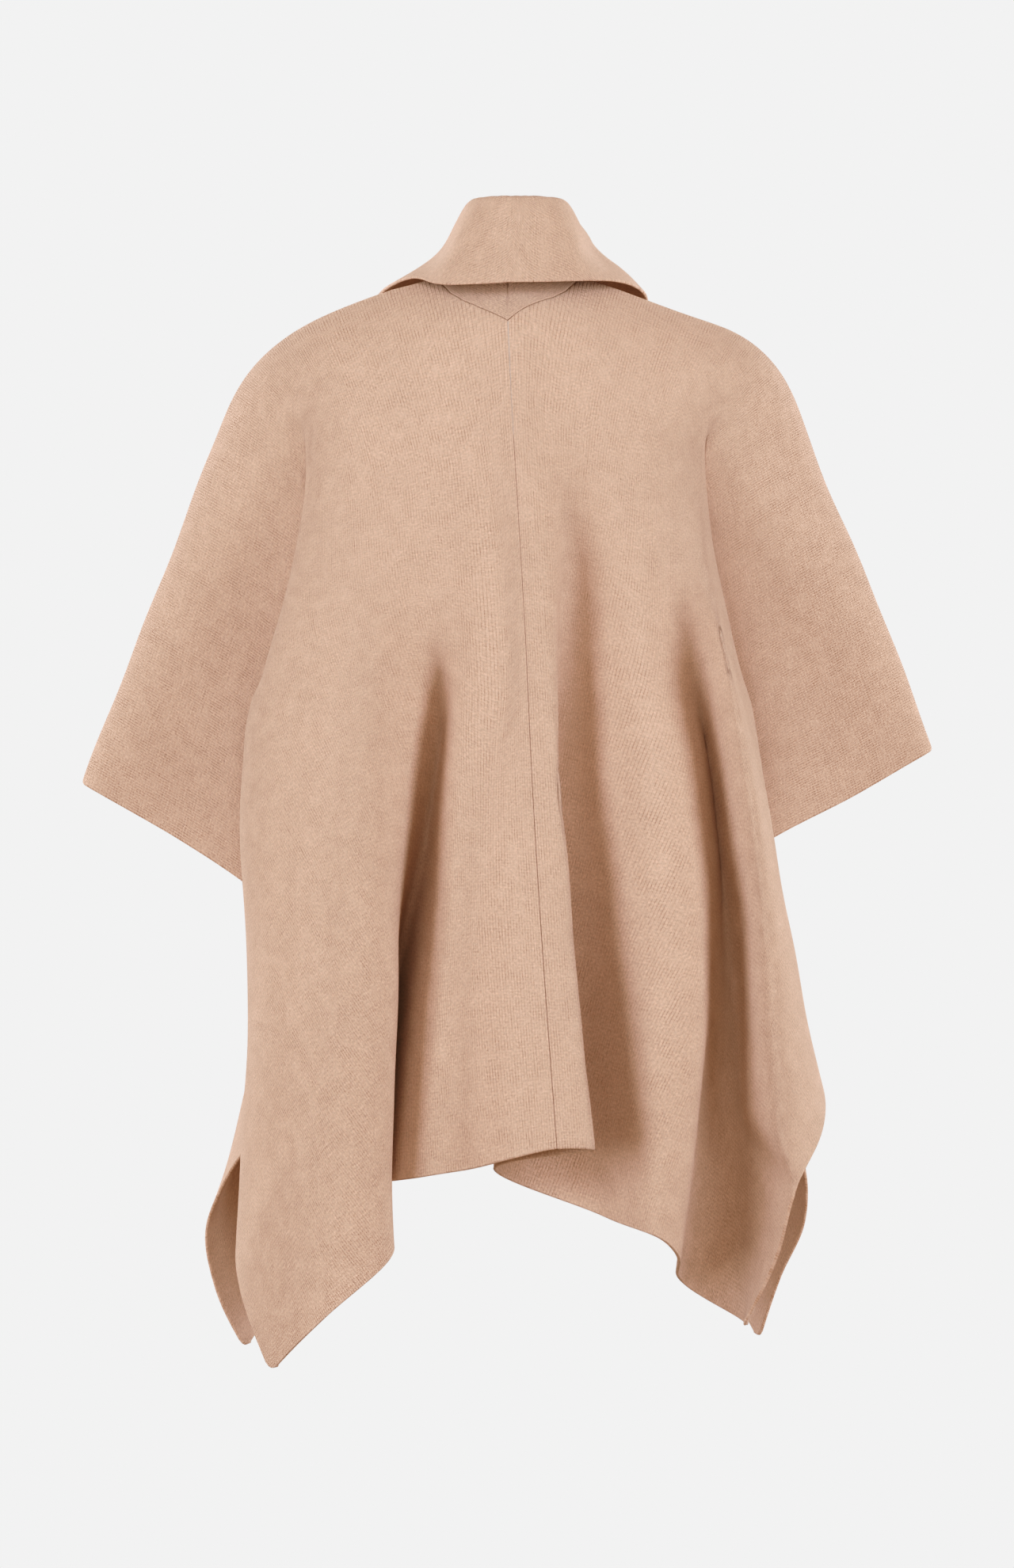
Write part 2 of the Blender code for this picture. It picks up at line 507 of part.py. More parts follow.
# ------------------------------------------------------------------ solids
def solid(name, points, normals, slant):
    """A closed wall of CLOTH about a grid of points. slant says per row which
    way its quads are cut."""
    nt, ns = points.shape[:2]
    skins = [points + normals * CLOTH / 2, points - normals * CLOTH / 2]
    verts = np.concatenate([s.reshape(-1, 3) for s in skins])
    n = nt * ns
    faces = []
    for j in range(nt - 1):
        for i in range(ns - 1):
            a, b, c, d = j * ns + i, j * ns + i + 1, (j + 1) * ns + i + 1, (j + 1) * ns + i
            tris = [(a, c, b), (a, d, c)] if slant[j] else [(a, d, b), (b, d, c)]
            faces += tris
            faces += [(n + x, n + z, n + y) for x, y, z in tris]
    rim = [i for i in range(ns)] + [j * ns + ns - 1 for j in range(1, nt)]
    rim += [(nt - 1) * ns + i for i in range(ns - 2, -1, -1)] + [j * ns for j in range(nt - 2, 0, -1)]
    for a, b in zip(rim, rim[1:] + rim[:1]):
        faces += [(a, b, n + b), (a, n + b, n + a)]
    mesh = bpy.data.meshes.new(name)
    mesh.from_pydata(verts.tolist(), [], faces)
    shape = bmesh.new()
    shape.from_mesh(mesh)
    bmesh.ops.recalc_face_normals(shape, faces=shape.faces)
    if shape.calc_volume(signed=True) < 0:
        bmesh.ops.reverse_faces(shape, faces=shape.faces)
    shape.to_mesh(mesh)
    shape.free()
    obj = bpy.data.objects.new(name, mesh)
    bpy.context.scene.collection.objects.link(obj)
    return obj


FRONT_NECK_ROWS = np.linspace(-NECK_FRONT, 0, 8)
BACK_NECK_ROWS = np.array([0.0205, 0.041, 0.058, 0.075, 0.089, NECK_BACK])
ROWS = np.concatenate(
    [
        np.linspace(-LENGTH, -NECK_FRONT - 0.005, 9),
        FRONT_NECK_ROWS,
        BACK_NECK_ROWS,
        np.linspace(NECK_BACK, LENGTH, 13)[1:],
    ]
)
COLUMN_GAP = 0.056  # the widest between two columns
LEAST_GAP = 0.005  # the least between two fold lines
COLLAR_ACROSS = np.array([0, 0.08, 0.2, 0.34, 0.45, 0.51, 0.56, 0.61, 0.7, 0.8, 0.9, 1.0])


def fabric(name):
    mat = bpy.data.materials.new(name)
    mat.use_nodes = True
    shader = mat.node_tree.nodes["Principled BSDF"]
    shader.inputs["Base Color"].default_value = (0.55, 0.38, 0.26, 1)
    shader.inputs["Roughness"].default_value = 0.9
    return mat


def main():
    for obj in list(bpy.data.objects):
        bpy.data.objects.remove(obj, do_unlink=True)
    cloth = Cloth()
    knit = fabric("camel_knit")
    for side in ("left", "right"):
        points, normals = panel(cloth, side, ROWS)
        slant = ROWS[:-1] >= 0
        solid(side + "_panel", points, normals, slant).data.materials.append(knit)
    tts = np.concatenate([[-NECK_FRONT + COLLAR_ENDS], FRONT_NECK_ROWS[1:], BACK_NECK_ROWS])
    points, normals = collar(cloth, tts, COLLAR_ACROSS)
    solid("collar", points, normals, [True] * len(points)).data.materials.append(knit)


main()
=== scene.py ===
"""The looks of a worn knitted poncho with a fold-over shawl collar.

The same cut and the same drape as the solid model: each half is one rectangle
of cloth, a point of it is (s, t), and fold lines carry it. Here it is made in
fine steps, with rounded edges, the small unevenness of soft knit and a knitted
surface whose stitches follow the flat cloth.
"""

import math

import bpy
import numpy as np
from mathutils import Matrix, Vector


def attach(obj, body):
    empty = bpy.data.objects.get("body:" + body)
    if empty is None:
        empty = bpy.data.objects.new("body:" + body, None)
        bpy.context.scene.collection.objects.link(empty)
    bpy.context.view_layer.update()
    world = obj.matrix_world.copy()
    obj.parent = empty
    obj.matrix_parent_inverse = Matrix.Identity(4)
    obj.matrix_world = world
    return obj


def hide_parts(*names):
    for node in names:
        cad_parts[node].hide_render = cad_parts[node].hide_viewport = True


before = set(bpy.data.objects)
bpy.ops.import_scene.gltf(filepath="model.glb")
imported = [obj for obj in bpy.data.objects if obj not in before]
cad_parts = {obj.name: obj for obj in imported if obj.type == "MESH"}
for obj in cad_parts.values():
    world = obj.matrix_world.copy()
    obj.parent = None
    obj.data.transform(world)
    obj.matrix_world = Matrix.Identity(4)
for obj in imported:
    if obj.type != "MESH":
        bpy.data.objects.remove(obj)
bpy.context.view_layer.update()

# ---------------------------------------------------------------- sizes
HALF_WIDTH = 0.67  # centre seam to side edge, flat
LENGTH = 0.88  # shoulder fold to hem, flat, the same at back and front
CLOTH = 0.0030  # thickness of the felted double knit
SEAM_GAP = 0.0004  # between two pieces sewn together
NECK_BACK = 0.098  # depth of the V of the neckline at the back, flat
NECK_FRONT = 0.270  # and at the front
NECK_WIDTH = 0.044  # from the centre line to the neck point, flat
NOTCH = 0.0040  # half the width of the bottom of the front V, where both collar ends go in
COLLAR_ENDS = 0.0006  # above the bottom of the front V
ROUNDING = (0.004, 0.0075)  # of every fold along and across, in the flat cloth
CALM = 0.024  # the same over the shoulder blades
CALM_ALONG = (0.05, 0.13, 0.25, 0.38)  # where that begins and ends, along t
CALM_ACROSS = (0.08, 0.12, 0.215, 0.245)  # and across

# The neckline as it is cut: a pointed V at the front, a rounder one at the back.
NECKLINE = [
    # t     s
    (-NECK_FRONT - 0.005, SEAM_GAP / 2),
    (-NECK_FRONT, NOTCH),
    (-0.130, 0.026),
    (0.000, NECK_WIDTH),
    (0.041, 0.0355),
    (0.058, 0.0285),
    (0.075, 0.0180),
    (0.089, 0.0080),
    (NECK_BACK, SEAM_GAP / 2),
]

# The line over which a half is folded, seen from behind: level distances in
# metres, slopes in degrees below level. It slopes to the shoulder, turns, and
# runs down the arm. The pulls are how far the knit is drawn out along the line
# beside the neck, on the shoulder and down the arm.
FOLD_LINE = {
    "left": dict(top=0.0467, slope=20.0, bend_at=0.196, radius=0.135, arm=69.0, arm_pull=0.945),
    "right": dict(top=0.0453, slope=18.5, bend_at=0.212, radius=0.110, arm=68.1, arm_pull=0.895),
}
NECK_PULL, SHOULDER_PULL = 1.75, 1.20

# How the knitted ribs lean inwards from plumb, in degrees, just below the fold
# line and a hand's breadth further down.
RIB_LEAN = [
    # s     high   low
    (0.000, 0.0, 0.0),
    (0.040, 17.0, 3.0),
    (0.090, 21.0, 4.0),
    (0.140, 26.0, 7.0),
    (0.170, 31.0, 16.0),
    (0.200, 38.0, 34.0),
    (0.240, 50.0, 52.0),
    (0.300, 59.0, 57.0),
    (0.670, 61.0, 57.0),
]

# How far the cloth stands behind or before its fold line: bulge is the
# thickness of what is inside it there, spread how much further each metre of
# cloth hangs away.
FIGURE = [
    # s     bulge   spread
    (0.000, 0.118, 0.010),
    (0.110, 0.112, 0.010),
    (0.170, 0.092, 0.015),
    (0.230, 0.064, 0.040),
    (0.310, 0.045, 0.080),
    (0.440, 0.030, 0.120),
    (0.590, 0.017, 0.160),
    (0.670, 0.010, 0.170),
]
STEEPEST = 0.92  # of the cloth over the shoulder, as depth over length

# ------------------------------------------------------ drawing of the pose
# The tables below are set out on a drawing of the garment seen from behind:
# one unit is 0.75 mm in the plane of the shoulders, from 4.5 m away, at the
# height of the garment's middle. u runs to the right, v runs down.
UNIT = 0.00075
VIEW_DISTANCE = 4.5
DRAW_CENTRE = (640.0, 990.0)
SHOULDER_V = 380.0
CENTRE_Z = (SHOULDER_V - DRAW_CENTRE[1]) * UNIT


def seen(u, v, depth):
    """The point in space seen at (u, v), depth behind the shoulders."""
    scale = UNIT * (VIEW_DISTANCE - depth) / VIEW_DISTANCE
    return np.array(
        [
            -(u - DRAW_CENTRE[0]) * scale,
            depth,
            CENTRE_Z - (v - DRAW_CENTRE[1]) * scale,
        ]
    )


# A row is a fold line: where it starts on the smooth yoke (s0, t0), its middle
# and its end, each as a place of the flat cloth and where that is seen, with
# its depth d behind the shoulders (before them, where it is negative).
FOLD_COLUMNS = "name s0 t0 sm tm um vm dm s1 t1 u1 v1 d1".split()
FOLDS = {
    ("left", "back"): [
        ("ridge_by_seam", 0.015, 0.41, 0.027, 0.61, 642, 1083, 0.156, 0.047, 0.88, 640, 1463, 0.192),
        ("shallow", 0.035, 0.44, 0.056, 0.62, 602, 1095, 0.147, 0.082, 0.88, 598, 1474, 0.170),
        ("lip", 0.068, 0.21, 0.076, 0.56, 577, 1012, 0.148, 0.132, 0.88, 538, 1484, 0.178),
        ("valley", 0.088, 0.20, 0.114, 0.48, 557, 880, 0.100, 0.300, 0.88, 430, 1510, 0.050),
        ("turned_edge", 0.110, 0.21, 0.190, 0.57, 499, 1000, 0.150, 0.465, 0.88, 495, 1585, 0.200),
        ("ridge", 0.140, 0.20, 0.262, 0.55, 425, 1010, 0.178, 0.565, 0.88, 411, 1663, 0.225),
        ("outer_fold", 0.240, 0.11, 0.333, 0.49, 333, 1000, 0.150, 0.67, 0.76, 301, 1600, 0.165),
        ("inner_fold", 0.250, 0.115, 0.430, 0.26, 412, 925, 0.070, 0.67, 0.38, 450, 1280, 0.045),
    ],
    ("right", "back"): [
        ("turned_edge", 0.040, 0.17, 0.031, 0.57, 713, 1036, 0.160, 0.036, 0.88, 748, 1450, 0.200),
        ("turn_under", 0.048, 0.172, 0.060, 0.38, 703, 772, 0.112, 0.140, 0.88, 625, 1474, 0.155),
        ("under", 0.060, 0.175, 0.082, 0.38, 722, 774, 0.103, 0.262, 0.88, 765, 1536, 0.145),
        ("ridge", 0.135, 0.20, 0.203, 0.57, 838, 1062, 0.160, 0.348, 0.88, 842, 1570, 0.165),
        ("step", 0.145, 0.20, 0.258, 0.66, 874, 1208, 0.156, 0.366, 0.88, 853, 1581, 0.150),
        ("pocket", 0.155, 0.19, 0.307, 0.66, 899, 1216, 0.116, 0.450, 0.88, 858, 1614, 0.105),
        ("valley", 0.165, 0.18, 0.310, 0.56, 910, 1082, 0.095, 0.585, 0.87, 941, 1650, 0.104),
        ("crest", 0.200, 0.145, 0.375, 0.55, 948, 1062, 0.165, 0.67, 0.742, 1003, 1503, 0.150),
        ("outer_fold", 0.245, 0.125, 0.415, 0.52, 972, 1068, 0.145, 0.67, 0.69, 1034, 1440, 0.120),
        ("inner_fold", 0.253, 0.13, 0.430, 0.26, 905, 862, 0.060, 0.67, 0.37, 885, 1165, 0.020),
    ],
    ("left", "front"): [
        ("ridge", 0.050, 0.34, 0.055, 0.60, 585, 1060, -0.185, 0.075, 0.88, 572, 1432, -0.235),
        ("valley", 0.085, 0.30, 0.120, 0.58, 550, 1030, -0.120, 0.190, 0.88, 530, 1450, -0.120),
        ("crest", 0.125, 0.24, 0.200, 0.56, 480, 1020, -0.180, 0.330, 0.88, 455, 1500, -0.235),
        ("hollow", 0.170, 0.18, 0.265, 0.53, 425, 1000, -0.125, 0.470, 0.88, 415, 1580, -0.135),
        ("swell", 0.205, 0.14, 0.345, 0.56, 378, 1050, -0.170, 0.570, 0.88, 350, 1640, -0.210),
        ("outer_fold", 0.240, 0.11, 0.380, 0.45, 354, 1000, -0.130, 0.67, 0.655, 322, 1436, -0.130),
        ("inner_fold", 0.250, 0.115, 0.430, 0.26, 412, 925, -0.070, 0.67, 0.38, 450, 1280, -0.045),
    ],
    ("right", "front"): [
        ("ridge", 0.050, 0.34, 0.055, 0.60, 690, 1060, -0.185, 0.080, 0.88, 688, 1432, -0.235),
        ("valley", 0.085, 0.30, 0.120, 0.58, 730, 1030, -0.125, 0.190, 0.88, 730, 1445, -0.125),
        ("crest", 0.125, 0.24, 0.200, 0.56, 795, 1020, -0.180, 0.330, 0.88, 805, 1480, -0.230),
        ("hollow", 0.165, 0.18, 0.265, 0.53, 850, 1000, -0.125, 0.470, 0.88, 850, 1550, -0.140),
        ("swell", 0.205, 0.14, 0.365, 0.56, 905, 1060, -0.170, 0.570, 0.88, 915, 1620, -0.215),
        ("outer_fold", 0.245, 0.125, 0.380, 0.45, 944, 1000, -0.130, 0.67, 0.66, 1010, 1442, -0.135),
        ("inner_fold", 0.253, 0.13, 0.430, 0.26, 905, 862, -0.060, 0.67, 0.37, 885, 1165, -0.045),
    ],
}

# The free side edge, from the corner of the sleeve down to the corner of the
# hem, and the seam down the middle, from the neckline to the hem.
EDGE_COLUMNS = "t u v d".split()
EDGE = {
    ("left", "back"): [(0.105, 225, 1057, 0.026), (0.190, 321, 1122, 0.045), (0.380, 450, 1280, 0.045), (0.760, 301, 1600, 0.165), (0.88, 343, 1732, 0.195)],
    ("right", "back"): [(0.085, 1083, 1001, 0.024), (0.178, 971, 1059, 0.045), (0.370, 885, 1165, 0.020), (0.690, 1034, 1440, 0.120), (0.742, 1003, 1503, 0.150), (0.800, 983, 1580, 0.145), (0.88, 940, 1672, 0.125)],
    ("left", "front"): [(0.105, 228, 1050, -0.030), (0.190, 326, 1108, -0.050), (0.380, 450, 1280, -0.045), (0.520, 385, 1340, -0.155), (0.655, 322, 1436, -0.130), (0.715, 280, 1500, -0.145), (0.755, 262, 1552, -0.155), (0.805, 272, 1620, -0.160), (0.88, 310, 1703, -0.150)],
    ("right", "front"): [(0.085, 1080, 994, -0.030), (0.178, 966, 1048, -0.050), (0.370, 885, 1165, -0.045), (0.520, 945, 1290, -0.155), (0.660, 1010, 1442, -0.135), (0.700, 1022, 1498, -0.145), (0.735, 1019, 1540, -0.152), (0.800, 985, 1612, -0.160), (0.88, 958, 1691, -0.150)],
}
SEAM = {
    "back": [(0.098, 641, 403, 0.075), (0.22, 649, 566, 0.122), (0.38, 661, 779, 0.139), (0.57, 674, 1032, 0.152), (0.72, 687, 1232, 0.174), (0.88, 703, 1449, 0.196)],
    "front": [(0.27, 640, 610, -0.118), (0.50, 638, 915, -0.148), (0.70, 634, 1182, -0.175), (0.88, 630, 1427, -0.200)],
}

# The collar in sections, from the centre back to the bottom of the front V:
# tt is the place of its seam on the neckline (before the neck point where it
# is negative), rise the angle in degrees at which it leaves the panel; then
# the top of its roll (r), a point halfway down its fall (f) and its outer edge
# (e), as seen from behind.
COLLAR_COLUMNS = "tt rise ru rv rd fu fv fd eu ev ed".split()
COLLAR = {
    "left": [
        (0.098, 0, 652, 249, 0.058, 647, 308, 0.073, 641, 354.5, 0.074),
        (0.060, 5, 617, 250, 0.056, 606, 308, 0.064, 598, 357, 0.064),
        (0.025, 15, 594, 256, 0.034, 572, 310, 0.043, 552, 357, 0.037),
        (0.000, 30, 585, 273, 0.002, 561, 318, 0.008, 526, 350, 0.010),
        (-0.040, 45, 573, 304, -0.030, 533, 338, -0.030, 488, 364, -0.030),
        (-0.090, 55, 575, 338, -0.062, 522, 362, -0.074, 474, 394, -0.085),
        (-0.150, 65, 592, 400, -0.098, 540, 432, -0.118, 492, 470, -0.124),
        (-0.210, 80, 615, 490, -0.126, 574, 525, -0.140, 535, 560, -0.142),
        (-0.270, 90, 632, 585, -0.137, 614, 612, -0.147, 598, 640, -0.146),
    ],
    "right": [
        (0.098, 0, 652, 249, 0.058, 647, 308, 0.073, 641, 354.5, 0.074),
        (0.060, 5, 688, 250, 0.056, 692, 306, 0.064, 690, 354, 0.064),
        (0.025, 15, 713, 256, 0.034, 730, 310, 0.044, 742, 353, 0.037),
        (0.000, 30, 722, 274, 0.002, 745, 320, 0.008, 776, 354, 0.013),
        (-0.040, 45, 742, 304, -0.030, 784, 341, -0.030, 811, 368, -0.030),
        (-0.090, 55, 730, 342, -0.062, 786, 368, -0.076, 814, 405, -0.085),
        (-0.150, 65, 700, 405, -0.098, 748, 437, -0.118, 790, 475, -0.124),
        (-0.210, 80, 668, 490, -0.126, 708, 525, -0.140, 745, 560, -0.142),
        (-0.270, 90, 648, 585, -0.137, 666, 612, -0.147, 682, 640, -0.146),
    ],
}
EASE = 0.82  # how much a fold line leaves the ribs of the yoke at its start
ROLL = 0.0085  # half the thickness of the roll at the top of the collar


# ---------------------------------------------------------------- geometry
def column(table, x, k):
    rows = np.array([[r[0], r[k]] for r in table], float)
    return np.interp(x, rows[:, 0], rows[:, 1])


def unit(v):
    return v / np.maximum(np.linalg.norm(v, axis=-1, keepdims=True), 1e-12)


def fold_line(side, s):
    """The point of the fold over shoulder and arm at s, as x (outwards) and z."""
    f = FOLD_LINE[side]
    a, b = math.radians(f["slope"]), math.radians(f["arm"])
    r, at = f["radius"], f["bend_at"]
    turned = r * (b - a)
    s = np.asarray(s, float)
    beside = NECK_WIDTH * NECK_PULL
    s_bend = NECK_WIDTH + (at - beside) / SHOULDER_PULL
    d = np.interp(s, [0, NECK_WIDTH, s_bend, 1.5], [0, beside, at, at + (1.5 - s_bend) * f["arm_pull"]])
    on_arc = np.clip(d - at, 0, turned) / r + a
    past = np.maximum(d - at - turned, 0)
    level = np.minimum(d, at)
    x = level * math.cos(a) + r * (np.sin(on_arc) - math.sin(a)) + past * math.cos(b)
    z = f["top"] - level * math.sin(a) - r * (math.cos(a) - np.cos(on_arc)) - past * math.sin(b)
    return x, z


FINE = np.linspace(0, 1.0, 201)


def yoke(side, way, s, t):
    """The smooth shape near the fold line, for arrays s and t. way is 1 at the
    back and -1 at the front."""
    s, t = np.broadcast_arrays(np.asarray(s, float), np.asarray(t, float))
    x, z = fold_line(side, s)
    bulge, spread = column(FIGURE, s, 1), column(FIGURE, s, 2)
    reach = bulge / STEEPEST
    slope = STEEPEST / np.cosh(FINE * 3) ** 2
    # Length lost to depth, as a share of reach, at t / reach = 3 * FINE.
    lost = np.concatenate([[0], np.cumsum((1 - np.sqrt(1 - slope[1:] ** 2)) * 3 * (FINE[1] - FINE[0]))])
    down = t - reach * np.interp(t / reach, 3 * FINE, lost)
    half = np.clip(t / 2 / 0.30, 0, 1)
    lean = np.radians(column(RIB_LEAN, s, 1) * (1 - half) + column(RIB_LEAN, s, 2) * half)
    depth = bulge * np.tanh(t / reach) + spread * t
    out = 1.0 if side == "left" else -1.0
    return np.stack([out * (x - down * np.sin(lean)), way * depth, z - down * np.cos(lean)], -1)


def through(ts, points, t):
    """A smooth curve through points at ts, read at t; straight past its ends."""
    ts, points = np.asarray(ts, float), np.asarray(points, float)
    h = np.diff(ts)[:, None]
    step = np.diff(points, axis=0) / h
    m = np.empty_like(points)
    m[1:-1] = (step[:-1] * h[1:] + step[1:] * h[:-1]) / (h[:-1] + h[1:])
    m[0], m[-1] = 1.5 * step[0] - 0.5 * m[1], 1.5 * step[-1] - 0.5 * m[-2]
    t = np.asarray(t, float)
    k = np.clip(np.searchsorted(ts, t, side="right") - 1, 0, len(ts) - 2)
    w = (t - ts[k]) / h[k, 0]
    w_in = np.clip(w, 0, 1)[..., None]
    hk = h[k]
    cubic = (
        (2 * w_in**3 - 3 * w_in**2 + 1) * points[k]
        + (w_in**3 - 2 * w_in**2 + w_in) * hk * m[k]
        + (3 * w_in**2 - 2 * w_in**3) * points[k + 1]
        + (w_in**3 - w_in**2) * hk * m[k + 1]
    )
    past = (w[..., None] - w_in) * hk
    return cubic + np.where(w[..., None] > 1, past * m[-1], past * m[0])


class Quarter:
    """One quarter of the poncho: a half's back or its front."""

    def __init__(self, side, face):
        self.side, self.way = side, 1 if face == "back" else -1
        self.neck = NECK_BACK if face == "back" else NECK_FRONT
        self.seam_t = [r[0] for r in SEAM[face]]
        self.seam_at = np.array([seen(*r[1:]) for r in SEAM[face]])
        self.lines = []
        folds = FOLDS[side, face]
        for row in folds:
            r = dict(zip(FOLD_COLUMNS, row))
            ts = [r["t0"] - 0.01, r["t0"], r["tm"], r["t1"]]
            flat = [r["s0"], r["s0"], r["sm"], r["s1"]]
            start, middle = self.rest(r["s0"], r["t0"]), seen(r["um"], r["vm"], r["dm"])
            along_rib = (start - self.rest(r["s0"], ts[0])) / 0.01
            chord = (middle - start) / (r["tm"] - r["t0"])
            just = start - 0.01 * ((1 - EASE) * along_rib + EASE * chord)
            at = [just, start, middle, seen(r["u1"], r["v1"], r["d1"])]
            self.lines.append((r["s0"], r["t0"], ts, np.array(flat)[:, None], np.array(at)))
        inner = dict(zip(FOLD_COLUMNS, folds[-1]))
        slope = (HALF_WIDTH - inner["s0"]) / (inner["t1"] - inner["t0"])
        edge = EDGE[side, face]
        rows = [(0.0, self.rest(HALF_WIDTH, 0.0))] + [(r[0], seen(*r[1:])) for r in edge]
        self.edge_t, self.edge_at = [r[0] for r in rows], np.array([r[1] for r in rows])
        # Between the inner fold and the side edge the sleeve is nearly flat:
        # its lines run as the inner fold does, from the yoke to the edge.
        for s0 in (0.31, 0.38, 0.46, 0.54, 0.61):
            t0 = 0.10
            t1 = t0 + (HALF_WIDTH - s0) / slope
            start, end = self.rest(s0, t0), through(self.edge_t, self.edge_at, t1)
            ts = [t0 - 0.01, t0, (t0 + t1) / 2, t1]
            flat = [s0, s0, (s0 + HALF_WIDTH) / 2, HALF_WIDTH]
            at = [self.rest(s0, t0 - 0.01), start, (start + end) / 2, end]
            self.lines.append((s0, t0, ts, np.array(flat)[:, None], np.array(at)))

    def seam(self, t):
        return through(self.seam_t, self.seam_at, t)

    def rest(self, s, t):
        """The yoke, moved over so that it meets the seam."""
        low = max(t, self.neck)
        drift = self.seam(low) - yoke(self.side, self.way, 0, low)
        return yoke(self.side, self.way, s, t) + drift * math.exp(-((s / 0.12) ** 2)) * min(t / self.neck, 1)

    def keys(self, t):
        """The fold lines that cross the row at t: their s and their points."""
        found = [(0.0, self.seam(t) if t > self.neck else self.rest(0.0, t))]
        for s0, t0, ts, flat, at in self.lines:
            if t <= t0:
                found.append((s0, self.rest(s0, t)))
            else:
                found.append((float(through(ts, flat, t)[0]), through(ts, at, t)))
        edge = through(self.edge_t, self.edge_at, t)
        if t < 0.10:
            edge = (1 - t / 0.10) * self.rest(HALF_WIDTH, t) + t / 0.10 * edge
        kept = [found[0]]
        for s, p in sorted(found[1:], key=lambda f: f[0]):
            if s > HALF_WIDTH - 0.006:
                break
            if s - kept[-1][0] > 0.004:
                kept.append((s, p))
        kept.append((HALF_WIDTH, edge))
        return kept


    def creases(self, t):
        """Where every fold line is on the row at t, in order and kept apart,
        those that have run out at the side edge drawn up against it."""
        s = [s0 if t <= t0 else float(through(ts, flat, t)[0]) for s0, t0, ts, flat, at in self.lines]
        n = len(s)
        s = [min(x, HALF_WIDTH - LEAST_GAP * (n - i)) for i, x in enumerate(s)]
        for i in range(n):
            s[i] = max(s[i], LEAST_GAP + (s[i - 1] if i else float(neckline(t))))
        return [float(neckline(t))] + s + [HALF_WIDTH]


def whole_cloth(ss, ts):
    """Both halves as one surface, for s below 0 in the right half and t below 0
    at the front: points at every (t, s), with every fold rounded."""
    quarters = {(side, face): Quarter(side, face) for side in ("left", "right") for face in ("back", "front")}
    out = np.empty((len(ts), len(ss), 3))
    for j, t in enumerate(ts):
        face = "back" if t >= 0 else "front"
        left = quarters["left", face].keys(abs(t))
        right = quarters["right", face].keys(abs(t))
        keys = [(-s, p) for s, p in right[:0:-1]] + left
        out[j] = through([k[0] for k in keys], [k[1] for k in keys], ss)
    steps = ts[1] - ts[0], ss[1] - ss[0]
    out = rounded(rounded(out, steps[0], 0, ROUNDING[0]), steps[1], 1, ROUNDING[1])
    # Over the shoulder blades the folds have not yet begun.
    soft = rounded(rounded(out, steps[0], 0, CALM), steps[1], 1, CALM)
    window = eased(ts, *CALM_ALONG)[:, None] * eased(np.abs(ss), *CALM_ACROSS)[None]
    return out + (soft - out) * window[..., None]


def eased(x, a, b, c, d):
    """0 up to a, 1 from b to c, 0 from d on, with soft steps between."""
    up, down = np.clip((x - a) / (b - a), 0, 1), np.clip((d - x) / (d - c), 0, 1)
    w = np.minimum(up, down)
    return w * w * (3 - 2 * w)


def rounded(points, step, axis, reach):
    """Points after a running mean, which leaves the edges where they are."""
    n = int(math.ceil(3 * reach / step))
    weight = np.exp(-0.5 * (np.arange(-n, n + 1) * step / reach) ** 2)
    weight /= weight.sum()
    p = np.moveaxis(points, axis, 0)
    before = 2 * p[:1] - p[n:0:-1]
    after = 2 * p[-1:] - p[-2 : -n - 2 : -1]
    padded = np.concatenate([before, p, after])
    out = sum(w * padded[k : k + len(p)] for k, w in enumerate(weight))
    return np.moveaxis(out, 0, axis)


class Cloth:
    """The draped surface, read at any (s, t)."""

    def __init__(self, across=269, along=353):
        self.ss = np.linspace(-HALF_WIDTH, HALF_WIDTH, across)
        self.ts = np.linspace(-LENGTH, LENGTH, along)
        self.points = whole_cloth(self.ss, self.ts)
        ds = np.gradient(self.points, self.ss, axis=1)
        dt = np.gradient(self.points, self.ts, axis=0)
        self.normals = unit(np.cross(ds, dt))

    def read(self, values, s, t):
        x = (np.asarray(s, float) - self.ss[0]) / (self.ss[1] - self.ss[0])
        y = (np.asarray(t, float) - self.ts[0]) / (self.ts[1] - self.ts[0])
        i = np.clip(np.floor(x).astype(int), 0, len(self.ss) - 2)
        j = np.clip(np.floor(y).astype(int), 0, len(self.ts) - 2)
        a, b = (x - i)[..., None], (y - j)[..., None]
        top = values[j, i] * (1 - a) + values[j, i + 1] * a
        low = values[j + 1, i] * (1 - a) + values[j + 1, i + 1] * a
        return top * (1 - b) + low * b

    def at(self, s, t):
        return self.read(self.points, s, t)

    def normal(self, s, t):
        return unit(self.read(self.normals, s, t))


def neckline(t):
    """How far from the centre line a half begins, on the row at t."""
    return column(NECKLINE, t, 1)


def panel_columns(side, ts):
    """The s of a half's columns on every row, from its inner edge to its side
    edge: evenly spread at the front, and along the fold lines at the back."""
    back = Quarter(side, "back")
    lines = np.array([back.creases(t) for t in ts])
    low = lines[np.asarray(ts) > 0.1]
    spans = [max(1, round(gap / COLUMN_GAP)) for gap in np.diff(low, axis=1).max(0)]
    shares = np.concatenate([i + np.arange(n) / n for i, n in enumerate(spans)] + [[len(spans)]])
    out = []
    for t, line in zip(ts, lines):
        even = np.linspace(line[0], HALF_WIDTH, len(shares))
        w = min(max(t / 0.12, 0), 1)
        w = w * w * (3 - 2 * w)
        out.append((1 - w) * even + w * np.interp(shares, np.arange(len(line)), line))
    return np.array(out)


def panel(cloth, side, ts):
    """A half as a grid of points and normals."""
    s = panel_columns(side, ts)
    t = np.broadcast_to(np.asarray(ts)[:, None], s.shape)
    sign = 1 if side == "left" else -1
    return cloth.at(sign * s, t), cloth.normal(sign * s, t)


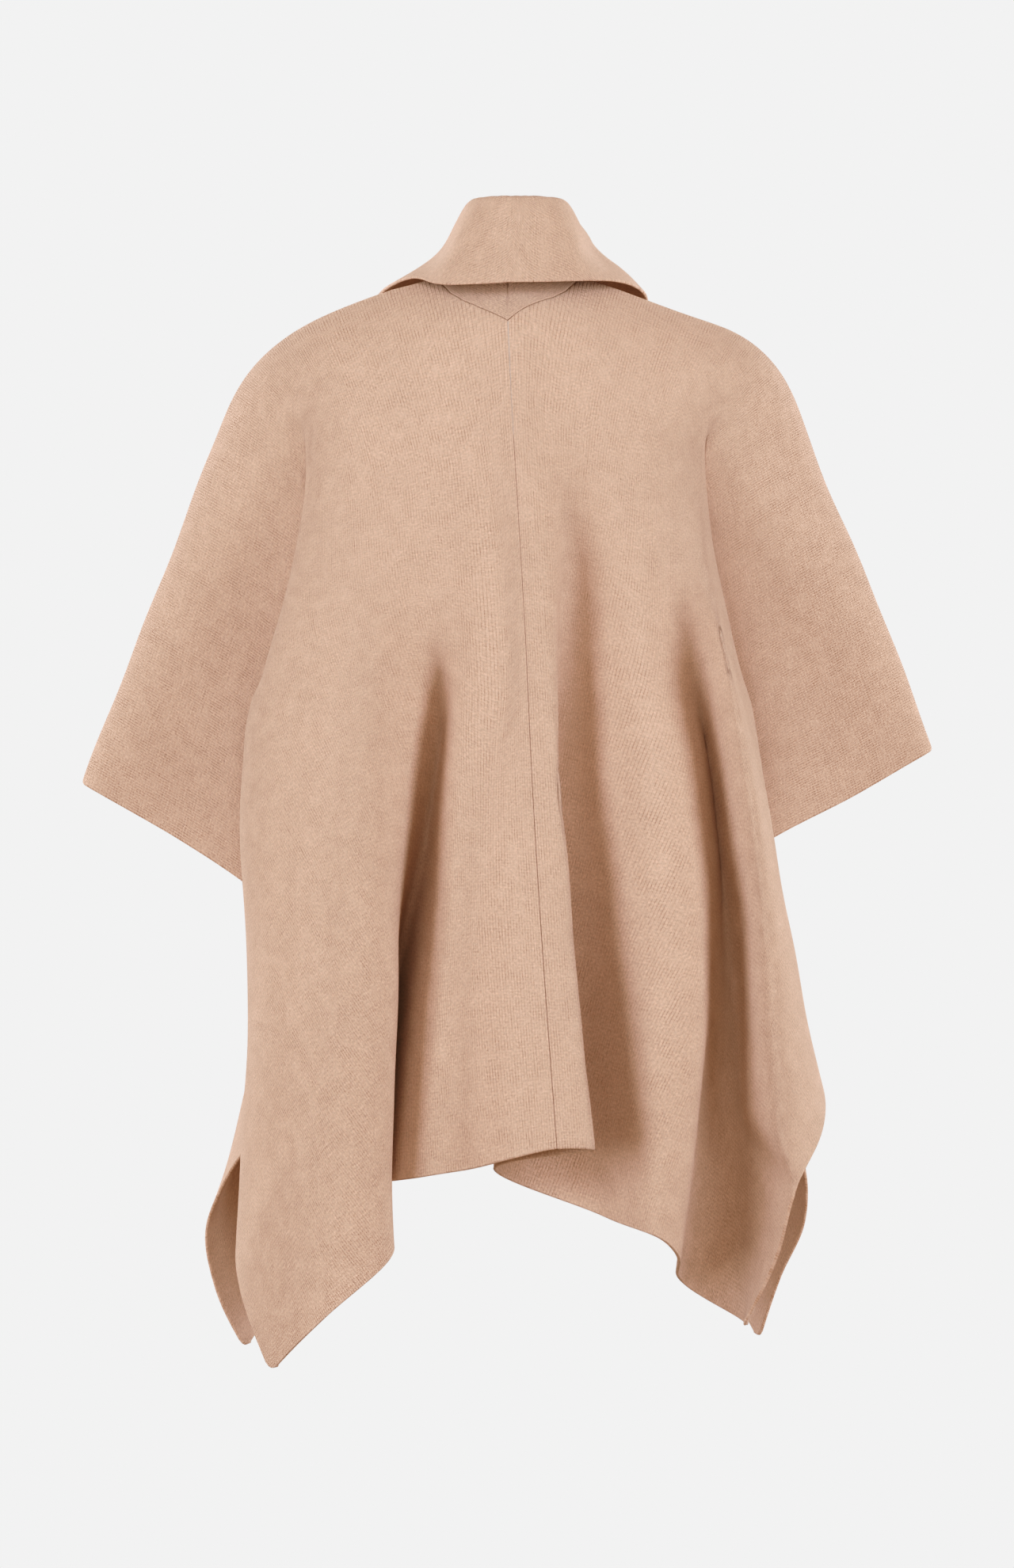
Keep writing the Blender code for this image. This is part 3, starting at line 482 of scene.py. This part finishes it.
def collar_section(cloth, side, tt, across):
    """The collar's section that is sewn on at tt: points from seam to outer edge."""
    sign = 1 if side == "left" else -1
    table = sorted(COLLAR[side])
    key = [r[0] for r in table]
    rise, ru, rv, rd, fu, fv, fd, eu, ev, ed = through(key, [r[1:] for r in table], tt)
    rise = math.radians(min(max(rise, 0), 90))
    s = float(neckline(tt))
    seam, up = cloth.at(sign * s, tt), cloth.normal(sign * s, tt)
    if tt > NECK_BACK - 1e-6:
        away = unit(cloth.at(0, tt - 0.004) - cloth.at(0, tt + 0.004))
    else:
        along = unit(cloth.at(sign * neckline(tt + 0.003), tt + 0.003) - cloth.at(sign * neckline(tt - 0.003), tt - 0.003))
        away = cloth.at(sign * (s - 0.002), tt) - cloth.at(sign * (s + 0.002), tt)
        away = unit(away - np.dot(away, along) * along)
    first = seam + away * (SEAM_GAP + CLOTH / 2 * math.sin(rise))
    leave = away * math.cos(rise) + up * math.sin(rise)
    # At the nape every section goes straight up, however the seam slants.
    plumb = unit(cloth.at(0, 0.04) - cloth.at(0, 0.09))
    w = 0.8 * min(max(tt / 0.05, 0), 1)
    leave = unit(leave * (1 - w) + plumb * w)
    roll, fall, edge = seen(ru, rv, rd), seen(fu, fv, fd), seen(eu, ev, ed)
    out = roll * [1, 1, 0] - np.array([-0.006, 0.0, 0.0])
    out = unit(out)
    drop = np.array([0, 0, -1.4 * ROLL])
    inside, outside = roll + drop - out * ROLL, roll + drop + out * ROLL
    length = np.linalg.norm(inside - first)
    low = first + leave * 0.22 * length
    stand = (first + leave * 0.55 * length + inside) / 2
    path = np.array([first, low, stand, inside, roll, outside, fall, edge])
    run = np.concatenate([[0], np.cumsum(np.linalg.norm(np.diff(path, axis=0), axis=1))])
    return through(run, path, np.asarray(across) * run[-1]), up * math.cos(rise) - away * math.sin(rise)


def collar(cloth, tts, across):
    """The collar as a grid of points and normals, from its left end to its right end."""
    rows = [collar_section(cloth, "left", t, across) for t in tts]
    rows += [collar_section(cloth, "right", t, across) for t in tts[-2::-1]]
    points = np.array([r[0] for r in rows])
    # Even the sections out, less and less towards the seam.
    free = np.clip(np.asarray(across) / 0.25, 0, 1)[None, :, None]
    for _ in range(2):
        mean = points.copy()
        mean[1:-1] = (points[:-2] + 2 * points[1:-1] + points[2:]) / 4
        points = points + (mean - points) * free
    normals = unit(np.cross(np.gradient(points, axis=0), np.gradient(points, axis=1)))
    sewn = np.array([r[1] for r in rows])
    sign = np.sign((normals[:, :1] * sewn[:, None]).sum(-1, keepdims=True))
    near = np.clip(1 - np.asarray(across) / 0.15, 0, 1)[None, :, None]
    return points, unit(normals * (1 - near) + sign * sewn[:, None] * near)


# --------------------------------------------------------- fine unevenness
WAVES = [
    # along s, along t: how many radians a metre, phase, height in metres
    (21.0, 9.0, 0.4, 0.0010),
    (-13.0, 17.0, 2.1, 0.0011),
    (34.0, -7.0, 4.0, 0.0007),
    (9.0, 31.0, 1.2, 0.0007),
    (47.0, 23.0, 3.3, 0.0004),
    (-29.0, 44.0, 5.2, 0.0004),
]
TIP_RADIUS = 0.007  # the round corner at the end of the fold over the arm
CORNER_RADIUS = 0.013  # and at the hem


def uneven(s, t):
    """A small height off the smooth drape."""
    return sum(h * np.sin(a * s + b * t + c) for a, b, c, h in WAVES)


def side_edge(t):
    """Where a half ends on the row at t, with its corners rounded."""
    t = np.abs(np.asarray(t, float))

    def pulled(distance, radius):
        left = np.clip(radius - distance, 0, radius)
        return radius - np.sqrt(radius**2 - left**2)

    return HALF_WIDTH - pulled(LENGTH - t, CORNER_RADIUS) - pulled(t, TIP_RADIUS)


def skin_mesh(name, points, normals, flat, edge, seam_sides, materials):
    """A wall of CLOTH about a grid: two skins and a rounded rim. flat and edge
    are the grid's two UV maps. seam_sides are the sides of the grid, 'first
    row', 'last row', 'first column' or 'last column', that are sewn."""
    nt, ns = points.shape[:2]
    half = np.full((nt, ns), CLOTH / 2)
    # A sewn edge sinks into its seam.
    for k, depth in enumerate((0.70, 0.82, 0.93, 0.985)):
        if "first column" in seam_sides:
            half[:, k] *= depth
        if "last column" in seam_sides:
            half[:, -1 - k] *= depth
        if "first row" in seam_sides:
            half[k] *= depth
        if "last row" in seam_sides:
            half[-1 - k] *= depth
    top = points + normals * half[..., None]
    low = points - normals * half[..., None]
    verts = [top.reshape(-1, 3), low.reshape(-1, 3)]
    n = nt * ns
    index = np.arange(n).reshape(nt, ns)
    quads = np.stack([index[:-1, :-1], index[1:, :-1], index[1:, 1:], index[:-1, 1:]], -1).reshape(-1, 4)
    faces = [quads, quads[:, ::-1] + n]
    which = [np.zeros(len(quads), int), np.ones(len(quads), int)]
    uv_flat = [flat.reshape(-1, 2)] * 2
    uv_edge = [edge.reshape(-1, 2)] * 2
    loop = (
        [(0, i) for i in range(ns)]
        + [(j, ns - 1) for j in range(1, nt)]
        + [(nt - 1, i) for i in range(ns - 2, -1, -1)]
        + [(j, 0) for j in range(nt - 2, 0, -1)]
    )
    loop = np.array(loop)
    # Outwards in the cloth, at every point of the rim.
    ds = unit(np.gradient(points, axis=1))
    dt = unit(np.gradient(points, axis=0))
    out = np.zeros_like(points)
    if "first row" not in seam_sides:
        out[0] -= dt[0]
    if "last row" not in seam_sides:
        out[-1] += dt[-1]
    if "first column" not in seam_sides:
        out[:, 0] -= ds[:, 0]
    if "last column" not in seam_sides:
        out[:, -1] += ds[:, -1]
    length = np.linalg.norm(out, axis=-1, keepdims=True)
    out = np.where(length > 0, out / np.maximum(length, 1e-9), 0)
    # Sewn edges swell towards each other at the bottom of the seam.
    meet = 0.25 * SEAM_GAP / half[..., None]
    if "first column" in seam_sides:
        out[1:-1, 0] = (-ds * meet)[1:-1, 0]
    if "last column" in seam_sides:
        out[1:-1, -1] = (ds * meet)[1:-1, -1]
    rings = [loop[:, 0] * ns + loop[:, 1]]
    at, nrm, o = points[loop[:, 0], loop[:, 1]], normals[loop[:, 0], loop[:, 1]], out[loop[:, 0], loop[:, 1]]
    h = half[loop[:, 0], loop[:, 1]][:, None]
    count = 2 * n
    for angle in (45, 90, 135):
        a = math.radians(angle)
        verts.append(at + (nrm * math.cos(a) + o * math.sin(a)) * h)
        rings.append(count + np.arange(len(loop)))
        uv_flat.append(flat[loop[:, 0], loop[:, 1]])
        uv_edge.append(edge[loop[:, 0], loop[:, 1]])
        count += len(loop)
    rings.append(rings[0] + n)
    for a, b in zip(rings, rings[1:]):
        quad = np.stack([a, np.roll(a, -1), np.roll(b, -1), b], -1)
        faces.append(quad)
        which.append(np.zeros(len(quad), int))
    verts, faces, which = np.concatenate(verts), np.concatenate(faces), np.concatenate(which)
    uv_flat, uv_edge = np.concatenate(uv_flat), np.concatenate(uv_edge)
    mesh = bpy.data.meshes.new(name)
    mesh.from_pydata(verts.tolist(), [], faces.tolist())
    for layer_name, values in (("Knit", uv_flat), ("Edge", uv_edge)):
        layer = mesh.uv_layers.new(name=layer_name)
        layer.data.foreach_set("uv", values[faces.reshape(-1)].astype(np.float32).reshape(-1))
    mesh.polygons.foreach_set("use_smooth", np.ones(len(faces), bool))
    for material in materials:
        mesh.materials.append(material)
    if len(materials) > 1:
        mesh.polygons.foreach_set("material_index", which.astype(np.int32))
    mesh.update()
    obj = bpy.data.objects.new(name, mesh)
    bpy.context.scene.collection.objects.link(obj)
    return obj


# ---------------------------------------------------------------- material
def nodes_of(mat):
    mat.use_nodes = True
    tree = mat.node_tree
    tree.nodes.clear()
    out = tree.nodes.new("ShaderNodeOutputMaterial")
    shader = tree.nodes.new("ShaderNodeBsdfPrincipled")
    tree.links.new(shader.outputs[0], out.inputs["Surface"])
    return tree, shader


class Maths:
    """Short names for the nodes of one tree."""

    def __init__(self, tree):
        self.tree = tree

    def do(self, operation, a, b=None, c=None, clamp=False):
        node = self.tree.nodes.new("ShaderNodeMath")
        node.operation = operation
        node.use_clamp = clamp
        for socket, value in zip(node.inputs, (a, b, c)):
            if value is None:
                continue
            if isinstance(value, (int, float)):
                socket.default_value = value
            else:
                self.tree.links.new(value, socket)
        return node.outputs[0]

    def uv(self, name):
        node = self.tree.nodes.new("ShaderNodeUVMap")
        node.uv_map = name
        split = self.tree.nodes.new("ShaderNodeSeparateXYZ")
        self.tree.links.new(node.outputs[0], split.inputs[0])
        return split.outputs[0], split.outputs[1], node.outputs[0]

    def noise(self, vector, scale, detail=2.0, roughness=0.5):
        node = self.tree.nodes.new("ShaderNodeTexNoise")
        node.inputs["Scale"].default_value = scale
        node.inputs["Detail"].default_value = detail
        node.inputs["Roughness"].default_value = roughness
        self.tree.links.new(vector, node.inputs["Vector"])
        return node.outputs["Fac"]

    def spread(self, value, low, high, to_low=0.0, to_high=1.0):
        node = self.tree.nodes.new("ShaderNodeMapRange")
        node.inputs["From Min"].default_value = low
        node.inputs["From Max"].default_value = high
        node.inputs["To Min"].default_value = to_low
        node.inputs["To Max"].default_value = to_high
        self.tree.links.new(value, node.inputs["Value"])
        return node.outputs[0]

    def mix(self, factor, a, b):
        node = self.tree.nodes.new("ShaderNodeMix")
        node.data_type = "RGBA"
        for socket, value in ((node.inputs[0], factor), (node.inputs[6], a), (node.inputs[7], b)):
            if isinstance(value, tuple):
                socket.default_value = value
            elif isinstance(value, float):
                socket.default_value = value
            else:
                self.tree.links.new(value, socket)
        return node.outputs[2]


WALE, COURSE = 0.0025, 0.0027  # from one rib to the next, and from one row to the next
# The yarn's colour as lit on the loops, and its darker colour as painted shade in the gaps between them.
YARN_LIT = (0.722, 0.566, 0.482, 1)
YARN_IN_PAINTED_SHADE = (0.418, 0.260, 0.178, 1)


def knit_material(name):
    """Stocking stitch as brushed soft knit: the two legs of
    every stitch, the gaps between them, stray loops and nap."""
    mat = bpy.data.materials.new(name)
    tree, shader = nodes_of(mat)
    m = Maths(tree)
    u, v, place = m.uv("Knit")
    from_seam, from_edge, _ = m.uv("Edge")
    # The ribs wander a little, and no two rows are quite level.
    wander = m.do("SUBTRACT", m.noise(place, 90, 2), 0.5)
    drift = m.do("SUBTRACT", m.noise(place, 160, 1), 0.5)
    x = m.do("ADD", m.do("DIVIDE", u, WALE), m.do("MULTIPLY", wander, 0.32))
    y = m.do("ADD", m.do("DIVIDE", v, COURSE), m.do("MULTIPLY", drift, 0.5))
    fx = m.do("ABSOLUTE", m.do("SUBTRACT", m.do("FRACT", x), 0.5))
    slant = m.do("ADD", y, m.do("MULTIPLY", fx, 1.15))
    fy = m.do("ABSOLUTE", m.do("SUBTRACT", m.do("FRACT", slant), 0.5))
    # The gap between two ribs opens at every stitch, here more, there less.
    open_here = m.spread(m.noise(place, 70, 2), 0.22, 0.66, 0.25, 1.0)
    gap = m.do("POWER", m.do("MULTIPLY", fx, 2.0), 3.0)
    dot = m.do("SUBTRACT", 1.0, m.do("MULTIPLY", m.do("POWER", m.do("MULTIPLY", fy, 2.0), 1.6), 0.75))
    gap = m.do("MULTIPLY", m.do("MULTIPLY", gap, dot), open_here)
    spine = m.do("MULTIPLY", m.do("POWER", m.do("SUBTRACT", 1.0, m.do("MULTIPLY", fx, 2.0)), 4.0), 0.22)
    loop = m.do("MULTIPLY", m.do("POWER", m.do("MULTIPLY", fy, 2.0), 3.0), 0.16)
    height = m.do("SUBTRACT", m.do("SUBTRACT", m.do("SUBTRACT", 0.92, gap), spine), loop)
    nap = m.noise(place, 1500, 3, 0.65)
    tufts = m.noise(place, 420, 2)
    cloudy = m.noise(place, 26, 2)
    felted = m.do("ADD", m.do("MULTIPLY", height, 0.62), m.do("MULTIPLY", nap, 0.38))
    felted = m.do("ADD", felted, m.do("MULTIPLY", m.do("SUBTRACT", tufts, 0.5), 0.5))
    # Colour: deep painted shade between the loops and painted light on them, following the stitch relief, with soft
    # cloudiness.
    lit = m.spread(felted, 0.08, 0.76)
    colour = m.mix(lit, YARN_IN_PAINTED_SHADE, YARN_LIT)
    shade = m.do("MULTIPLY", m.do("SUBTRACT", cloudy, 0.5), 0.10)
    grain = m.do("MULTIPLY", m.do("SUBTRACT", m.noise(place, 430, 3, 0.7), 0.5), 0.72)
    # Painted shade: within a millimetre of a sewn edge the colour is darkened, standing in for the shadow in the seam's
    # groove.
    seam = m.spread(from_seam, 0.0002, 0.0010, 0.93, 1.0)
    value = m.do("MULTIPLY", m.do("ADD", m.do("ADD", shade, grain), 1.0), seam)
    tone = tree.nodes.new("ShaderNodeHueSaturation")
    tree.links.new(colour, tone.inputs["Color"])
    tree.links.new(value, tone.inputs["Value"])
    tree.links.new(tone.outputs[0], shader.inputs["Base Color"])
    bump = tree.nodes.new("ShaderNodeBump")
    bump.inputs["Strength"].default_value = 0.85
    bump.inputs["Distance"].default_value = 0.0014
    tree.links.new(felted, bump.inputs["Height"])
    tree.links.new(bump.outputs[0], shader.inputs["Normal"])
    shader.inputs["Roughness"].default_value = 0.92
    shader.inputs["Specular IOR Level"].default_value = 0.15
    shader.inputs["Sheen Weight"].default_value = 0.35
    shader.inputs["Sheen Roughness"].default_value = 0.55
    shader.inputs["Sheen Tint"].default_value = (1.0, 0.90, 0.84, 1)
    return mat


# ------------------------------------------------------------------ pieces
def rows_of_panel():
    stops = [-LENGTH, -NECK_FRONT - 0.005, -NECK_FRONT, 0.0, NECK_BACK, LENGTH]
    out = [np.array([stops[0]])]
    for a, b in zip(stops, stops[1:]):
        n = max(1, round((b - a) / STEP))
        out.append(np.linspace(a, b, n + 1)[1:])
    rows = np.concatenate(out)
    # Closer rows where the hem's corners and the fold's tip are round.
    extra = np.array(BESIDE_EDGE[1:])
    return np.unique(np.concatenate([rows, LENGTH - extra, extra - LENGTH, extra, -extra]))


def spread_out(start, end, n):
    """n columns from start to end, with close ones beside either edge."""
    close = np.array(BESIDE_EDGE)
    middle = np.linspace(0, 1, n - 2 * len(close) + 2)[1:-1]
    a, b = start + BESIDE_EDGE[-1], end - BESIDE_EDGE[-1]
    return np.concatenate([start + close[None], a + (b - a) * middle[None], end - close[None, ::-1]], 1)


BESIDE_EDGE = (0.0, 0.0006, 0.0015, 0.0032)
STEP = 0.0058
PANEL_ROWS = rows_of_panel()
PANEL_COLUMNS = 122


SOFT_STARTS = [
    # along t: begins, whole, whole, ends; the same across; how far it evens out
    ((0.16, 0.27, 0.40, 0.52), (0.030, 0.070, 0.130, 0.170), 0.021),
    ((0.16, 0.27, 0.38, 0.48), (-0.280, -0.240, -0.175, -0.140), 0.020),
]


def soften_starts(cloth):
    """Wide folds begin as shallow dips in cloth as thick as this."""
    steps = cloth.ts[1] - cloth.ts[0], cloth.ss[1] - cloth.ss[0]
    for along, across, reach in SOFT_STARTS:
        soft = rounded(rounded(cloth.points, steps[0], 0, reach), steps[1], 1, reach)
        window = eased(cloth.ts, *along)[:, None] * eased(cloth.ss, *across)[None]
        cloth.points = cloth.points + (soft - cloth.points) * window[..., None]
    ds = np.gradient(cloth.points, cloth.ss, axis=1)
    dt = np.gradient(cloth.points, cloth.ts, axis=0)
    cloth.normals = unit(np.cross(ds, dt))


def fine_panel(cloth, side, materials):
    start, end = neckline(PANEL_ROWS)[:, None], side_edge(PANEL_ROWS)[:, None]
    s = spread_out(start, end, PANEL_COLUMNS)
    t = np.broadcast_to(PANEL_ROWS[:, None], s.shape)
    sign = 1 if side == "left" else -1
    points, normals = cloth.at(sign * s, t), cloth.normal(sign * s, t)
    calm = np.clip((s - start) / 0.03, 0, 1)
    points = points + normals * (uneven(sign * s, t) * calm)[..., None]
    grad_s, grad_t = np.gradient(points, axis=1), np.gradient(points, axis=0)
    fine = unit(np.cross(grad_s, grad_t)) * sign
    normals = unit(fine * calm[..., None] + normals * (1 - calm[..., None]))
    edge = np.minimum(end - s, LENGTH - np.abs(t))
    flat = np.stack([sign * s, t], -1)
    obj = skin_mesh(side + "_panel_knit", points, normals, flat, np.stack([s - start, edge], -1), {"first column"}, materials)
    return obj


COLLAR_ROWS = 300
COLLAR_SHARES = np.concatenate([[0, 0.004, 0.010], np.linspace(0.02, 0.98, 60), [0.99, 0.996, 1]])


def fine_collar(cloth, materials):
    end = -NECK_FRONT + COLLAR_ENDS
    stops = np.concatenate([end + np.array(BESIDE_EDGE), np.linspace(end + 0.006, 0, 96), np.linspace(0, NECK_BACK, 40)[1:]])
    points, normals = collar(cloth, stops, COLLAR_SHARES)
    run = np.concatenate([[0], np.cumsum(np.linalg.norm(np.diff(points[:, 0], axis=0), axis=1))])
    top = np.concatenate([[0], np.cumsum(np.linalg.norm(np.diff(points[:, -1], axis=0), axis=1))])
    across = np.cumsum(np.concatenate([np.zeros((len(points), 1)), np.linalg.norm(np.diff(points, axis=1), axis=-1)], 1), 1)
    middle = len(points) // 2
    share = COLLAR_SHARES[None]
    along = (run - run[middle])[:, None] * (1 - share) + (top - top[middle])[:, None] * share
    flat = np.stack([across, along], -1)  # its ribs run round the neck
    edge = np.stack([across, across[:, -1:] - across], -1)
    return skin_mesh("collar_knit", points, normals, flat, edge, {"first column"}, materials)


# --------------------------------------------------------------- the scene
def stage_plane():
    """A pale floor that sweeps up into a backdrop on every side."""
    mesh = bpy.data.meshes.new("floor")
    rings, verts, faces = [(0.0, -1.5), (24.0, -1.5), (28.0, -0.6), (30.0, 3.0), (31.0, 30.0)], [], []
    n = 64
    for radius, z in rings:
        for k in range(n):
            a = 2 * math.pi * k / n
            verts.append((max(radius, 0.01) * math.cos(a), max(radius, 0.01) * math.sin(a), z))
    for j in range(len(rings) - 1):
        for k in range(n):
            faces.append((j * n + k, j * n + (k + 1) % n, (j + 1) * n + (k + 1) % n, (j + 1) * n + k))
    faces.append(tuple(range(n)))
    mesh.from_pydata(verts, [], faces)
    mesh.polygons.foreach_set("use_smooth", np.ones(len(faces), bool))
    obj = bpy.data.objects.new("floor", mesh)
    bpy.context.scene.collection.objects.link(obj)
    mat = bpy.data.materials.new("pale_floor")
    mat.use_nodes = True
    tree = mat.node_tree
    tree.nodes.clear()
    out = tree.nodes.new("ShaderNodeOutputMaterial")
    glow = tree.nodes.new("ShaderNodeEmission")
    glow.inputs["Color"].default_value = (0.888, 0.888, 0.888, 1)
    glow.inputs["Strength"].default_value = 1.0
    tree.links.new(glow.outputs[0], out.inputs["Surface"])
    mesh.materials.append(mat)
    return obj


def area_light(name, at, aim, size, power, colour=(1, 1, 1)):
    data = bpy.data.lights.new(name, "AREA")
    data.shape = "RECTANGLE"
    data.size, data.size_y = size
    data.energy = power
    data.color = colour
    obj = bpy.data.objects.new(name, data)
    obj.location = at
    obj.rotation_euler = (Vector(aim) - Vector(at)).to_track_quat("-Z", "Y").to_euler()
    bpy.context.scene.collection.objects.link(obj)
    return obj


CONTRAST = [(0.0, 0.0), (0.06, 0.031), (0.127, 0.091), (0.20, 0.166), (0.32, 0.294), (0.50, 0.498), (0.70, 0.70), (1.0, 1.0)]


# The same for the green and the blue: shade turns warm between walls of wool.
WARMTH = {
    1: [(0.06, 0.053), (0.117, 0.107), (0.254, 0.243), (0.445, 0.447), (0.60, 0.60), (0.888, 0.888)],
    2: [(0.035, 0.023), (0.074, 0.057), (0.120, 0.102), (0.174, 0.155), (0.24, 0.234), (0.33, 0.335), (0.50, 0.503), (0.888, 0.888)],
}


def graded(view):
    """The depth that a studio picture gives to shade."""
    view.use_curve_mapping = True
    for channel, points in {3: CONTRAST[1:-1], **WARMTH}.items():
        curve = view.curve_mapping.curves[channel]
        for x, y in points:
            curve.points.new(x, y)
    view.curve_mapping.update()


LAMPS = [
    # name, azimuth from the back of the garment, height, width, tall, watts
    ("left_box", 59, -0.1, 1.5, 3.0, 72),
    ("right_box", -59, -0.1, 1.5, 3.0, 72),
    ("top_box", 4, 1.8, 2.4, 1.4, 35),
    ("front_left_box", 132, -0.1, 1.5, 3.0, 64),
    ("front_right_box", -132, -0.1, 1.5, 3.0, 64),
    ("front_top_box", 176, 1.9, 2.4, 1.4, 35),
]


def main():
    scene = bpy.context.scene
    camera = bpy.data.objects.new("camera", bpy.data.cameras.new("camera"))
    scene.collection.objects.link(camera)
    camera.data.sensor_fit = "VERTICAL"
    camera.data.sensor_height = 36
    camera.data.lens = 36 * VIEW_DISTANCE / (1980 * UNIT)
    camera.location = (0, VIEW_DISTANCE, CENTRE_Z)
    camera.rotation_euler = (math.radians(90), 0, math.radians(180))
    scene.camera = camera
    scene.view_settings.view_transform = "Standard"
    graded(scene.view_settings)

    world = bpy.data.worlds.new("soft")
    scene.world = world
    world.use_nodes = True
    world.node_tree.nodes["Background"].inputs[0].default_value = (1, 0.70, 0.50, 1)
    world.node_tree.nodes["Background"].inputs[1].default_value = 0.43
    floor = stage_plane()
    # The floor shows, and leaves the light to the lamps and the room.
    floor.visible_diffuse = floor.visible_glossy = floor.visible_transmission = False
    floor.visible_shadow = False
    for name, azimuth, height, width, tall, watts in LAMPS:
        a = math.radians(azimuth)
        at = (3.5 * math.sin(a), 3.5 * math.cos(a), height)
        area_light(name, at, (0, 0, -0.45), (width, tall), watts)

    cloth = Cloth(449, 587)
    soften_starts(cloth)
    face = knit_material("camel_knit")
    pieces = {
        "left_panel": fine_panel(cloth, "left", [face]),
        "right_panel": fine_panel(cloth, "right", [face]),
        "collar": fine_collar(cloth, [face]),
    }
    for node, piece in pieces.items():
        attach(piece, "root")
        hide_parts(node)
    return camera


main()
